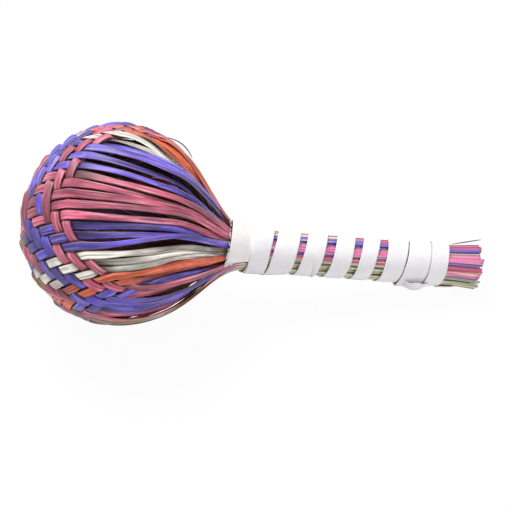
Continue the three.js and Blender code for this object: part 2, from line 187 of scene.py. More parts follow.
CROSSED = (3, 5)  # so many ends of the warp and of the weft next to the upper corner cross their neighbours
CROSS_TURNS = (12 * DEGREE, 17 * DEGREE)
CROSS_LIFT = 0.8 * MM
SHINGLE = 8 * DEGREE  # each splint in the handle leans on the next
WOVEN_SWAY = 0.25 * MM
SWAY = 0.7 * MM
SWAY_WAVE = 170 * MM
FREE_LIFT = 0.25 * MM  # every other free splint lies higher
LIFT_WAVE = 70 * MM
WOVEN_ROLL = 0.07  # how far a splint rolls to and fro
FREE_ROLLS = (0.2, 0.35, 1.0)
ROLL_WAVE = 110 * MM
LEANNESS = (0.68, 1.25)  # the narrowest and the widest free end
WIDTH_SPREAD = 0.05
WIDTH_WAVER = 0.06
WIDTH_WAVE = 40 * MM
NECK_WAIST = 1.2 * MM  # the splints dip by this much between the shoulder and the tape
NECK_STRETCH = 1.1
CUT_BACK = (2.4 * MM, 5 * MM)  # the ends are cut unevenly
CUT_RAGGED = 0.9 * MM
SHORT_FIBRES = 9
FIBRE_THICKNESS = 0.65 * MM
FIBRE_TIP = 0.35  # a fibre's tip, as a share of its thickness

NET_STEP = 0.9 * MM
NET_MARGIN = 6  # so many steps of the net lie past the weave
ROW_STEP = 0.9 * MM
HANDLE_ROW_STEP = 4 * MM
FEWEST_ROWS = 6
COLUMNS = 9

PITCH = SPLINT_WIDTH + SPLINT_SPACING
GRIP_X = BALL_RADIUS + NECK_LENGTH
BUTT_X = GRIP_X + HANDLE_LENGTH
TAPE_END_X = BUTT_X - BARE_END
ENDS = 2 * sum(COUNTS)
END_ANGLE = math.tau / ENDS
FIRST_AZIMUTH = -COUNTS[0] / 2 * END_ANGLE

# The random draws, with a stream for each kind of piece beside the warp (0) and the weft (1)
SEED = 598
TAPE_STREAM = 2
FREE_STREAM = 5
WEFT_STREAM = 6
FIBRE_STREAM = 8
FRAY_STREAM = 9

WARP_DYES = (
    "orange orange orange pale pale violet violet violet violet rose rose rose "
    "rose rose violet violet violet pale pale pale orange orange violet violet"
).split()
WEFT_DYES = (
    "rose rose rose violet violet violet rose rose gold "
    "rose violet rose pale orange violet violet gold"
).split()


def smooth(t):
    t = np.clip(t, 0, 1)
    return t * t * (3 - 2 * t)


def lerp(a, b, t):
    return a + (b - a) * t


def draws(*stream):
    return np.random.default_rng([SEED, *stream])


def strand(family, index):
    """How far a splint of the warp (0) or of the weft (1) lies from the middle of the weave."""
    return (index - (COUNTS[family] - 1) / 2) * PITCH


def weave_half(family):
    """How far from the middle a splint leaves the weave."""
    return strand(1 - family, COUNTS[1 - family] - 1) + BEND_HALF


def unit(vectors):
    return vectors / np.linalg.norm(vectors, axis=-1, keepdims=True)


def tangents_of(place):
    return unit(np.gradient(place, axis=0))


def steps_to_one(count):
    return np.arange(1, count + 1) / count


def lengths_along(place):
    steps = np.linalg.norm(np.diff(place, axis=0), axis=1)
    return np.concatenate([[0], np.cumsum(steps)])


def wander(rng, along, wavelength):
    """A slow seeded wave between about -1 and 1, along a splint or a tape."""
    shares = (1, 0.57, 0.31)
    value = np.zeros_like(along)
    for share in shares:
        phase = rng.uniform(0, math.tau)
        value += share * np.sin(math.tau * along / (wavelength * share) + phase)
    return value / sum(shares)


# Where the rattle lies


def table_turn():
    """The turn from the rattle's own frame to the table: rolled about its handle, then drooped."""
    axis = frame["record"]["mounts"][0]["axis"]
    droop = math.asin(-axis[2])
    roll = np.array([
        [1, 0, 0],
        [0, math.cos(ROLL), -math.sin(ROLL)],
        [0, math.sin(ROLL), math.cos(ROLL)],
    ])
    tilt = np.array([
        [math.cos(droop), 0, math.sin(droop)],
        [0, 1, 0],
        [-math.sin(droop), 0, math.cos(droop)],
    ])
    return tilt @ roll


def ball_centre():
    """The first seed lies straight under the ball's centre."""
    low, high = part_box("seed_1")
    return np.array([(low[0] + high[0]) / 2, (low[1] + high[1]) / 2, BALL_HEIGHT])


TURN = table_turn()
CENTRE = ball_centre()


def to_table(points):
    return points @ TURN.T + CENTRE


def moved_over(points):
    """The handle's axis passes the ball's centre on one side, so the neck and the handle are moved over."""
    aside = np.array([0, math.cos(OFFSET_AZIMUTH), math.sin(OFFSET_AZIMUTH)])
    share = smooth((points[:, 0] - SHOULDER_X) / (GRIP_X - SHOULDER_X))
    return points + HANDLE_OFFSET * share[:, None] * aside


# The weave, a mat draped on the ball


def draped_net():
    """Directions from the ball's centre to the crossings of a fine net that keeps its spacing."""
    count = int(max(weave_half(0), weave_half(1)) / NET_STEP) + NET_MARGIN
    angles = np.arange(count) * NET_STEP / BALL_RADIUS
    net = np.zeros((count, count, 3))
    net[:, 0] = np.stack([-np.cos(angles), np.sin(angles), 0 * angles], axis=1)
    net[0, :] = np.stack([-np.cos(angles), 0 * angles, np.sin(angles)], axis=1)
    for i in range(1, count):
        for j in range(1, count):
            back = net[i - 1, j - 1]
            middle = unit(net[i, j - 1] + net[i - 1, j])
            net[i, j] = 2 * middle.dot(back) * middle - back
    return net


NET = draped_net()


def net_point(u, v):
    """The direction to the place at u along the warp and v across it."""
    a = np.abs(u) / NET_STEP
    b = np.abs(v) / NET_STEP
    i = np.minimum(a.astype(int), len(NET) - 2)
    j = np.minimum(b.astype(int), len(NET) - 2)
    s = (a - i)[:, None]
    t = (b - j)[:, None]
    low = NET[i, j] * (1 - s) + NET[i + 1, j] * s
    high = NET[i, j + 1] * (1 - s) + NET[i + 1, j + 1] * s
    point = unit(low * (1 - t) + high * t)
    point[:, 1] *= np.where(u < 0, -1, 1)
    point[:, 2] *= np.where(v < 0, -1, 1)
    return point


def upper_share(outward, family, start=UPPER_START):
    """1 on the side of the ball that lies uppermost, 0 on the side below."""
    azimuth = UPPER_AZIMUTH - family * math.pi / 2
    facing = outward[:, 1] * math.cos(azimuth) + outward[:, 2] * math.sin(azimuth)
    return smooth((facing - start) / UPPER_BLEND)


def weave_exit(family, index):
    """Where a splint leaves the weave: its angle from the pole and its azimuth."""
    at = net_point(np.array([weave_half(family)]), np.array([strand(family, index)]))[0]
    return math.acos(-at[0]), math.atan2(at[2], at[1])


CORNER_POLAR = max(weave_exit(family, COUNTS[family] - 1)[0] for family in (0, 1))
SHOULDER_POLAR = max(SHOULDER_ANGLE, CORNER_POLAR + SHOULDER_MARGIN)
SHOULDER_X = -BALL_RADIUS * math.cos(SHOULDER_POLAR)
NECK_RUN = NECK_STRETCH * (GRIP_X - SHOULDER_X)


# The bundle of splint ends in the handle


def ring_reach(radius):
    return math.hypot(radius + FOLDED_THICKNESS / 2, FOLDED_WIDTH / 2)


def ring_room(radius):
    half = math.atan2((FOLDED_WIDTH + BUNDLE_GAP) / 2, radius - FOLDED_THICKNESS / 2)
    return math.floor(math.pi / half)


def bundle_rings():
    """Radii and rooms of the rings, the outermost first, opened until they hold every end."""
    core = FOLDED_THICKNESS
    while True:
        radii = [core]
        while len(radii) < BUNDLE_LAYERS:
            radii.append(ring_reach(radii[-1]) + BUNDLE_GAP + FOLDED_THICKNESS / 2)
        rooms = [ring_room(radius) for radius in radii]
        if sum(rooms) >= ENDS:
            return radii[::-1], rooms[::-1]
        core += BUNDLE_SEARCH_STEP


RING_RADII, RING_ROOMS = bundle_rings()
BUNDLE_REACH = ring_reach(RING_RADII[0])


def handle_slots():
    """Each end's layer and its azimuth in the handle."""
    left = ENDS
    shares = []
    for room in RING_ROOMS:
        shares.append(min(room, left))
        left -= shares[-1]
    taken = [0] * len(shares)
    slots = []
    for end in range(ENDS):
        wants = [share * (end + 1) / ENDS - taken[layer] for layer, share in enumerate(shares)]
        layer = wants.index(max(wants))
        taken[layer] += 1
        slots.append((layer, FIRST_AZIMUTH + (taken[layer] - 0.5) / shares[layer] * math.tau))
    return slots


SLOTS = handle_slots()


def neck_curve(layer, share):
    """Points and tangents of a layer's line from shoulder to handle, as x and distance off the axis."""
    out = np.array([-math.cos(SHOULDER_POLAR), math.sin(SHOULDER_POLAR)])
    along = np.array([out[1], -out[0]])
    start = out * (BALL_RADIUS - layer * LAYER_STEP)
    end = np.array([GRIP_X, RING_RADII[layer]])
    lead = start + along * SHOULDER_REACH
    trail = np.array([GRIP_X - NECK_REACH - layer * NECK_STAGGER, end[1]])
    t = share[:, None]
    points = (1 - t) ** 3 * start + 3 * (1 - t) ** 2 * t * lead + 3 * (1 - t) * t ** 2 * trail + t ** 3 * end
    tangents = (1 - t) ** 2 * (lead - start) + 2 * (1 - t) * t * (trail - lead) + t ** 2 * (end - trail)
    return points, unit(tangents)


def corner_cross(end):
    """How far an end next to the weave's upper corner turns aside, over its neighbours."""
    if end < CROSSED[0]:
        return CROSS_TURNS[0]
    past = ENDS - 1 - end
    if past >= CROSSED[1] or past % 2:
        return 0.0
    return CROSS_TURNS[1] * (1 - past / CROSSED[1])


def off_axis(along, off, azimuth):
    """Points or directions given by x along the handle, a distance off its axis and an azimuth."""
    return np.stack([along, off * np.cos(azimuth), off * np.sin(azimuth)], axis=1)


def on_ball(polar, azimuth):
    """Directions from the ball's centre, given by the angle from the pole and the azimuth."""
    return off_axis(-np.cos(polar), np.sin(polar), azimuth)


# One splint's line, with its outward direction and its half width at each row


ROW_VALUES = ("half", "crown", "loose", "gather", "twist", "bare", "soil")


def stretch(place, outward, **values):
    """Rows of a splint, where a value that isn't given is 0."""
    rows = {name: values.get(name, 0.0) + np.zeros(len(place)) for name in ROW_VALUES}
    return dict(rows, place=place, outward=outward)


def warp_is_over(warp, weft):
    step = math.floor(abs(warp - (COUNTS[0] - 1) / 2)) + weft
    return step % (2 * FLOAT) < FLOAT


def splint_rises(family, index, crossing):
    if family == 0:
        return warp_is_over(index, COUNTS[1] - 1 - crossing)
    return not warp_is_over(crossing, index)


def over_and_under(family, index, u):
    """The splint's height in the weave, from -1 to 1, with an arch and a twist on each float."""
    others = COUNTS[1 - family]
    signs = [1 if splint_rises(family, index, crossing) else -1 for crossing in range(others)]
    height = np.full_like(u, signs[0])
    arch = np.zeros_like(u)
    twist = np.zeros_like(u)
    start = 0
    for crossing in range(others):
        last = crossing == others - 1
        if not last and signs[crossing] == signs[crossing + 1]:
            continue
        low = strand(1 - family, start) - PITCH / 2
        high = strand(1 - family, crossing) + PITCH / 2
        share = np.clip((u - low) / (high - low), 0, 1)
        arch += signs[crossing] * np.sin(math.pi * share)
        inside = (u >= low) & (u < high)
        if family == 0:
            turned = signs[crossing] * np.cos(math.pi * share)
        else:
            turned = (1 - share) ** WEFT_LIES_DOWN if signs[crossing] > 0 else share ** WEFT_COMES_UP
        twist[inside] = turned[inside]
        if not last:
            turn = smooth((u - high) / BEND_LENGTH + 0.5)
            height += (signs[crossing + 1] - signs[crossing]) * turn
        start = crossing + 1
    return height, arch, twist


def woven_rows(family, index):
    """The rows of a splint in the weave."""
    end = weave_half(family)
    u = np.linspace(-end, end, round(2 * end / ROW_STEP) + 1)
    v = np.full_like(u, strand(family, index))
    middle = net_point(u, v)
    along = tangents_of(middle)
    across = net_point(u, v + PITCH / 2) - net_point(u, v - PITCH / 2)
    across -= along * np.sum(across * along, axis=1, keepdims=True)
    squeeze = np.linalg.norm(across, axis=1) * BALL_RADIUS / PITCH
    height, arch, twist = over_and_under(family, index, u)
    rise = WAVE * height + FLOAT_ARCH * arch
    rise *= np.where(rise > 0, 1 + CORNER_LIFT * (1 - squeeze), DIP)
    upper = upper_share(middle, family, RISE_START)
    rise *= lerp(UNDERSIDE_RISE, 1, upper)
    if family == 0:
        twist *= upper * (FLAT_TWIST + CORNER_TWIST * (1 - squeeze)) * np.sign(v) * np.sign(u)
    else:
        waver = WEFT_WAVER * wander(draws(WEFT_STREAM, index), u, WEFT_WAVE)
        twist *= upper * WEFT_TWIST * (1 + waver)
    half = lerp(UNDERSIDE_WOVEN, WOVEN_WIDTH, upper_share(middle, family)) / 2
    half *= lerp(1, squeeze, WOVEN_SQUEEZE)
    radius = BALL_RADIUS + rise + TWIST_LIFT * half * np.abs(np.sin(twist))
    # The last value is painted shade where the splint passes under others
    return stretch(
        middle * radius[:, None], middle,
        half=half, crown=WOVEN_CROWN, twist=twist, soil=1 - smooth((height - SHADED_FROM) / SHADED_BLEND),
    )


def free_rows(family, index, side, woven):
    """The rows of one free end: over the ball to the shoulder, round the neck and along the handle."""
    order = index if side > 0 else ENDS // 2 + COUNTS[family] - 1 - index
    end = family * COUNTS[0] + order
    last = -1 if side > 0 else 0
    turned = family * math.pi / 2
    facing = UPPER_AZIMUTH - turned
    aim = FIRST_AZIMUTH + (end + 0.5) * END_ANGLE - turned
    turns = math.tau * round((aim - facing) / math.tau)
    layer, grip = SLOTS[end]
    grip -= turned
    aimed = off_axis(np.zeros(1), np.ones(1), np.full(1, aim))
    upper = upper_share(aimed, family)[0]
    taut = upper_share(aimed, family, TAUT_START)[0]
    width = lerp(UNDERSIDE_WIDTH, FREE_WIDTH, upper_share(aimed, family, WIDTH_START)[0])
    loose = lerp(UNDERSIDE_LOOSE, 1, upper)

    rng = draws(FREE_STREAM, end)
    grip += STRAY * upper * np.clip(rng.normal(), -STRAY_LIMIT, STRAY_LIMIT)
    mouth = grip + MOUTH_TURN
    low_side = math.cos(grip + turned - BARE_AZIMUTH) > BARE_REACH
    lowest = math.cos(grip + turned - LOWEST_AZIMUTH) > LOWEST_REACH
    undyed = float(math.cos(mouth + turned - LOWEST_AZIMUTH) > UNDYED_REACH)
    bare = float(rng.uniform() < BARE_CHANCES[low_side])
    bow = BOW * upper * np.clip(rng.normal(), -STRAY_LIMIT, STRAY_LIMIT)
    cross = corner_cross(end)
    lift = CROSS_LIFT if cross else 0.0

    exit_polar, exit_azimuth = weave_exit(family, index)
    exit_azimuth = (0 if side > 0 else math.pi) + side * exit_azimuth
    exit_radius = np.linalg.norm(woven["place"][last])
    start_x = -exit_radius * math.cos(exit_polar)
    start_y = exit_radius * math.sin(exit_polar) * math.sin(exit_azimuth - facing)
    end_y = RING_RADII[layer] * math.sin(mouth - facing)
    span = SHOULDER_POLAR - exit_polar
    over_ball = span * BALL_RADIUS

    def azimuth_at(distance, x, off):
        # The splints below are spread evenly at the shoulder, and those above run straight to the handle
        share = distance / (over_ball + NECK_RUN)
        y = lerp(start_y, end_y, ((x - start_x) / (GRIP_X - start_x)) ** SLACK)
        straight = facing + turns + np.arcsin(np.clip(y / off, -STEEPEST, STEEPEST))
        spread = lerp(exit_azimuth, aim, smooth(distance / over_ball))
        spread += (mouth - aim) * smooth((distance - over_ball) / NECK_RUN)
        return lerp(spread, straight, taut) + (bow + cross) * np.sin(math.pi * share) ** 2

    s = steps_to_one(max(FEWEST_ROWS, round(over_ball / ROW_STEP)))
    polar = exit_polar + s * span
    radius = BALL_RADIUS + lerp(exit_radius - BALL_RADIUS, lift - layer * LAYER_STEP, smooth(s))
    outward = on_ball(polar, azimuth_at(s * over_ball, -radius * np.cos(polar), radius * np.sin(polar)))
    ball = stretch(
        outward * radius[:, None], outward,
        half=lerp(woven["half"][last], width / 2, smooth(2 * s)),
        crown=WOVEN_CROWN,
        loose=loose * smooth(1.5 * s),
        twist=woven["twist"][last] * (1 - smooth(2 * s)),
        bare=undyed * smooth(2 * s - 0.5),
        # the weave's painted shade fades out on the way to the shoulder
        soil=woven["soil"][last] * (1 - smooth(3 * s)),
    )

    t = steps_to_one(round(NECK_RUN / ROW_STEP))
    points, tangents = neck_curve(layer, t)
    points[:, 1] += lift * (1 - smooth(t)) - NECK_WAIST * np.sin(math.pi * t) ** 2
    azimuth = azimuth_at(over_ball + t * NECK_RUN, points[:, 0], points[:, 1])
    neck = stretch(
        off_axis(points[:, 0], points[:, 1], azimuth), off_axis(-tangents[:, 1], tangents[:, 0], azimuth),
        half=lerp(width, NECK_WIDTH, smooth(t)) / 2,
        crown=lerp(WOVEN_CROWN, GRIP_CROWN, smooth(t)),
        loose=loose * (1 - smooth(t)),
        gather=smooth(2 * t - 1),
        twist=SHINGLE * smooth(t),
        bare=np.maximum(undyed, bare * smooth(4 * t - 3)),
        # painted shade where the ends near the tape
        soil=NECK_SHADE * smooth(2.5 * t - 1.5),
    )

    x = GRIP_X + steps_to_one(round(HANDLE_LENGTH / HANDLE_ROW_STEP)) * HANDLE_LENGTH
    spread = lerp(1, BUTT_SPREAD, np.clip((x - TAPE_END_X) / BARE_END, 0, 1))
    azimuth = lerp(mouth, grip, smooth((x - GRIP_X) / TAPE_WIDTH))
    handle = stretch(
        off_axis(x, RING_RADII[layer] * spread, azimuth), off_axis(0 * x, np.ones_like(x), azimuth),
        half=lerp(NECK_WIDTH, GRIP_WIDTH, smooth((x - GRIP_X) / (2 * NECK_LENGTH))) / 2,
        crown=GRIP_CROWN,
        gather=1.0,
        twist=SHINGLE,
        bare=bare * np.where(x < TAPE_END_X - TAPE_WIDTH / 2, 1.0, float(lowest)),
    )
    return [ball, neck, handle]


def splint_rows(family, index):
    """All the rows of a splint from one cut end to the other, in the rattle's own frame."""
    woven = woven_rows(family, index)
    near = free_rows(family, index, -1, woven)
    far = free_rows(family, index, 1, woven)
    rows = {}
    for name in woven:
        before = np.concatenate([part[name] for part in near])[::-1]
        after = np.concatenate([part[name] for part in far])
        rows[name] = np.concatenate([before, woven[name], after])
    if family == 1:
        for name in ("place", "outward"):
            x, y, z = rows[name].T
            rows[name] = np.stack([x, -z, y], axis=1)
    rows["place"] = moved_over(rows["place"])
    return rows


# The spine of a ribbon, which is a splint or a strip of cloth


SHADE_VALUES = ("tone", "gather", "bare", "soil")  # the ones that the materials read


def ribbon_spine(place, length, across, outward, ragged=0.0, **values):
    """A spine on the table, from its line and its half widths. A value that isn't given is 0."""
    spine = {name: values.get(name, 0.0) + np.zeros(len(place)) for name in ("crown", "pleat", *SHADE_VALUES)}
    vectors = {"across": across, "outward": outward, "ragged": ragged + np.zeros_like(place)}
    spine.update({name: vector @ TURN.T for name, vector in vectors.items()})
    return dict(spine, place=to_table(place), length=length)


def splint_spine(family, index):
    """The splint's rows with the unevenness of a real one, as the spine of a ribbon on the table."""
    rng = draws(family, index)
    rows = splint_rows(family, index)
    place = rows["place"]
    length = lengths_along(place)
    along = tangents_of(place)
    across = unit(np.cross(rows["outward"], along))
    outward = np.cross(along, across)
    loose, gather = rows["loose"], rows["gather"]
    first_half = np.arange(len(length)) < len(length) // 2

    sway = (WOVEN_SWAY + SWAY * loose) * wander(rng, length, SWAY_WAVE)
    lift = FREE_LIFT * loose * (1 + wander(rng, length, LIFT_WAVE) + (-1) ** index)
    roll = np.where(first_half, *rng.choice(FREE_ROLLS, 2))
    twist = rows["twist"] + (WOVEN_ROLL + roll * loose) * wander(rng, length, ROLL_WAVE)
    lean = np.where(first_half, *rng.uniform(*LEANNESS, 2))
    width = rows["half"] * lerp(1, lean, np.maximum(loose, gather))
    width *= 1 + WIDTH_SPREAD * rng.uniform(-1, 1) + WIDTH_WAVER * wander(rng, length, WIDTH_WAVE)
    turned = across * np.cos(twist)[:, None] + outward * np.sin(twist)[:, None]
    place = place + across * sway[:, None] + outward * lift[:, None]

    ragged = np.zeros_like(place)
    for row, sign in ((0, -1), (-1, 1)):
        place[row] -= along[row] * sign * rng.uniform(*CUT_BACK)
        ragged[row] = along[row] * sign * CUT_RAGGED
    return ribbon_spine(
        place, length, turned * width[:, None], np.cross(along, turned), ragged,
        crown=rows["crown"], pleat=GRIP_PLEAT * gather, gather=gather, bare=rows["bare"], soil=rows["soil"],
        tone=rng.uniform(),
    )


def cloth_spine(place, across, **values):
    outward = unit(np.cross(tangents_of(place), across))
    return ribbon_spine(place, lengths_along(place), across, outward, tone=0.5, **values)


# The winding of the tape


def bundle_radius(x):
    """The outside of the bundle at x: the outer layer round the neck, then the straight handle."""
    share = np.linspace(0, 1, 40)
    points, _ = neck_curve(0, share)
    half = lerp(FREE_WIDTH, FOLDED_WIDTH, smooth(share)) / 2
    top = points[:, 1] + lerp(SKIN, FOLDED_THICKNESS, smooth(share)) / 2
    profile_x = np.append(points[:, 0], TAPE_END_X)
    profile_r = np.append(np.hypot(top, half), BUNDLE_REACH)
    return np.interp(x, profile_x, profile_r)


def tape_edges():
    """Turns, and where the tape's leading edge is after so many turns."""
    start = GRIP_X - TAPE_LEAD
    body = TAPE_END_X - TAPE_WIDTH - start - HEAD_TURNS * HEAD_PITCH - TAIL_TURNS * TAIL_PITCH
    body_turns = max(1, round(body / BODY_PITCH))
    turns = HEAD_TURNS + body_turns + TAIL_TURNS
    turn = np.arange(0, turns * TAPE_ROWS + 1) / TAPE_ROWS
    head = np.minimum(turn, HEAD_TURNS) * HEAD_PITCH
    middle = np.clip(turn - HEAD_TURNS, 0, body_turns) * body / body_turns
    tail = np.maximum(0, turn - HEAD_TURNS - body_turns) * TAIL_PITCH
    return turn, start + head + middle + tail


def winding():
    """The wound tape at each step: its turn, angle, leading edge and width, and the radii of its edges."""
    turn, edge = tape_edges()
    band = np.arange(len(BAND_WIDTHS))
    width = np.interp(turn, band, np.array(BAND_WIDTHS) * MM)
    edge = edge + np.interp(turn, band, np.array(BAND_SHIFTS) * MM)
    low = bundle_radius(edge + width) + TAPE_CLEARANCE
    high = bundle_radius(edge) + TAPE_CLEARANCE
    clearance = TAPE_THICKNESS + TAPE_SELF_GAP / 2
    for i in range(TAPE_ROWS, len(turn)):
        below = i - TAPE_ROWS
        overlap = (edge[below] + width[below] - edge[i]) / width[i]
        if overlap <= 0:
            continue
        over = low[below] + clearance
        reach = np.clip((edge[i] - edge[below]) / width[below], 0, 1)
        on_band = lerp(high[below], low[below], reach) + clearance
        low[i] = max(low[i], lerp(low[i], over, smooth((overlap - HALF_LAP) / LAP_BLEND)))
        lever = 1 / (1 - min(overlap, HALF_LAP))
        high[i] = max(high[i], on_band, low[i] + (over - low[i]) * lever)
    kernel = np.hanning(TAPE_ROWS // 3)
    margin = len(kernel) // 2
    for radii in (low, high):
        padded = np.pad(radii, margin, mode="edge")
        even = np.convolve(padded, kernel / kernel.sum(), mode="same")
        radii[:] = even[margin:margin + len(turn)]
    flare = HEAD_FLARE * (1 - smooth(turn / FLARE_TURNS))
    return {
        "turn": turn,
        "angle": TAPE_START - turn * math.tau,
        "edge": edge,
        "width": width,
        "high": high + flare,
        "low": low + FLARE_FALL * flare,
    }


def wound_spine(wound, shares, lift, **values):
    """A strip of cloth on the winding, between two shares of the tape's width."""
    sides = []
    for share in shares:
        x = wound["edge"] + share * wound["width"]
        radius = lerp(wound["high"], wound["low"], share) + lift
        sides.append(moved_over(off_axis(x, radius, wound["angle"])))
    first, second = sides
    return cloth_spine((first + second) / 2, (first - second) / 2, crown=TAPE_CROWN, **values)


def tape_spine(wound):
    rng = draws(TAPE_STREAM)
    turn = wound["turn"]
    length = turn * math.tau * BUNDLE_REACH
    wound = dict(wound, edge=wound["edge"] + EDGE_WAVER * wander(rng, length, EDGE_WAVE))
    pleat = TAPE_PLEAT * smooth(wander(rng, length, TAPE_PLEAT_WAVE))
    lift = TAPE_THICKNESS / 2 + TUCK_LIFT * np.exp(-((turn - TUCK_TURN) / TUCK_TURNS) ** 2)
    # On the tape this value is only the first band's cream tint, the tape's own colour, not shade
    soil = 1 - smooth((turn - CREAM_TURNS) / CREAM_BLEND)
    return wound_spine(wound, (0, 1), lift, pleat=pleat, soil=soil)


def splice_spine(wound):
    """A second layer on one band, where two lengths of tape meet at a slant."""
    turn = wound["turn"]
    part = (turn >= SPLICE_TURNS[0]) & (turn <= SPLICE_TURNS[1])
    patch = {name: values[part] for name, values in wound.items()}
    slant = np.linspace(*SPLICE_SLANT, int(part.sum()))
    return wound_spine(patch, (slant, SPLICE_SIDE), TAPE_THICKNESS / 2 + CLOTH)


def tuck_spine():
    """The tape's tail, tucked into a small loop under the handle."""
    s = np.linspace(0, 1, 24)
    x = lerp(*TUCK_SPAN, s)
    arch = np.sin(math.pi * s)
    turned = TUCK_AZIMUTH + TUCK_WAVER * np.sin(3 * math.pi * s)
    place = moved_over(off_axis(x, BUNDLE_REACH + TUCK_HEIGHT * arch ** TUCK_ROUND, turned))
    across = off_axis(0 * s, TUCK_WIDTH / 2 * lerp(TUCK_TAPER, 1, arch), turned - math.pi / 2)
    return cloth_spine(place, across, crown=TUCK_CROWN, pleat=TUCK_PLEAT)


# Node trees


class Tree:
    """Places nodes in a node tree and joins them."""

    def __init__(self, tree):
        self.tree = tree

    def node(self, kind, settings=None, **inputs):
        node = self.tree.nodes.new(kind)
        for name, value in (settings or {}).items():
            setattr(node, name, value)
        self.fill(node, **inputs)
        return node

    def fill(self, node, **inputs):
        """Sets a node's inputs, with an underscore for each blank in a name."""
        for name, value in inputs.items():
            label = name.replace("_", " ").lower()
            self.set(next(s for s in node.inputs if s.enabled and s.name.lower() == label), value)

    def set(self, socket, value):
        if isinstance(value, bpy.types.NodeSocket):
            self.tree.links.new(value, socket)
        elif isinstance(value, bpy.types.Node):
            self.tree.links.new(self.out(value), socket)
        else:
            socket.default_value = value

    def out(self, node):
        return next(s for s in node.outputs if s.enabled)

    def math(self, operation, *values, kind="ShaderNodeMath"):
        node = self.node(kind, {"operation": operation})
        for socket, value in zip(node.inputs, values):
            self.set(socket, value)
        return self.out(node)

    def times(self, a, b):
        return self.math("MULTIPLY", a, b)

    def minus(self, a, b):
        return self.math("SUBTRACT", a, b)

    def vector(self, operation, *values):
        return self.math(operation, *values, kind="ShaderNodeVectorMath")

    def scaled(self, vector, factor):
        node = self.node("ShaderNodeVectorMath", {"operation": "SCALE"})
        self.set(node.inputs[0], vector)
        self.set(node.inputs["Scale"], factor)
        return self.out(node)

    def ranged(self, value, low, high, top=1.0, bottom=0.0):
        """A smooth step from bottom to top while the value goes from low to high."""
        node = self.node("ShaderNodeMapRange", {"interpolation_type": "SMOOTHSTEP"})
        self.fill(node, Value=value, From_Min=low, From_Max=high, To_Min=bottom, To_Max=top)
        return self.out(node)

    def mix(self, factor, a, b, blend="MIX"):
        node = self.node("ShaderNodeMix", {"data_type": "RGBA", "blend_type": blend})
        for name, value in (("Factor_Float", factor), ("A_Color", a), ("B_Color", b)):
            self.set(next(s for s in node.inputs if s.identifier == name), value)
        return next(s for s in node.outputs if s.identifier == "Result_Color")

    def layers(self, color, tints):
        """A colour with others laid over it, each given after its share."""
        for share, tint in tints:
            color = self.mix(share, color, tint)
        return color

    def attribute(self, name):
        return self.node("ShaderNodeAttribute", {"attribute_name": name}).outputs["Fac"]

    def ribbon_place(self):
        """The place across a ribbon, from 0 to 1, and the length along it."""
        place = self.node("ShaderNodeUVMap", {"uv_map": "UVMap"})
        parts = self.node("ShaderNodeSeparateXYZ", Vector=place).outputs
        return parts["X"], parts["Y"]

    def speckle(self, scale, detail):
        place = self.node("ShaderNodeTexCoord").outputs["Object"]
        return self.node("ShaderNodeTexNoise", Vector=place, Scale=scale, Detail=detail).outputs["Fac"]

    def finished(self, mesh, paints, flat=None):
        """Ends a geometry tree: smooth but for the flat part, real, and painted part by part."""
        mesh = self.node("GeometryNodeSetShadeSmooth", Geometry=mesh, Shade_Smooth=True)
        if flat:
            mesh = self.node("GeometryNodeSetShadeSmooth", Geometry=mesh, Selection=flat, Shade_Smooth=False)
        mesh = self.node("GeometryNodeRealizeInstances", Geometry=mesh)
        for part, paint in paints:
            mesh = self.node("GeometryNodeSetMaterial", Geometry=mesh, Selection=part, Material=paint)
        self.node("NodeGroupOutput", Geometry=mesh)
        return self.tree


def new_tree(name, kind, inputs, outputs):
    """A node tree with named sockets, each given with its kind."""
    tree = bpy.data.node_groups.new(name, kind)
    for in_out, sockets in (("INPUT", inputs), ("OUTPUT", outputs)):
        for label, socket in sockets.items():
            tree.interface.new_socket(label, in_out=in_out, socket_type=f"NodeSocket{socket}")
    return Tree(tree)


def new_geometry_tree(name, **inputs):
    """A geometry tree and its inputs, with an underscore for each blank in a name."""
    geometry = {"Geometry": "Geometry"}
    named = {label.replace("_", " "): kind for label, kind in inputs.items()}
    t = new_tree(name, "GeometryNodeTree", {**geometry, **named}, geometry)
    return t, t.node("NodeGroupInput").outputs


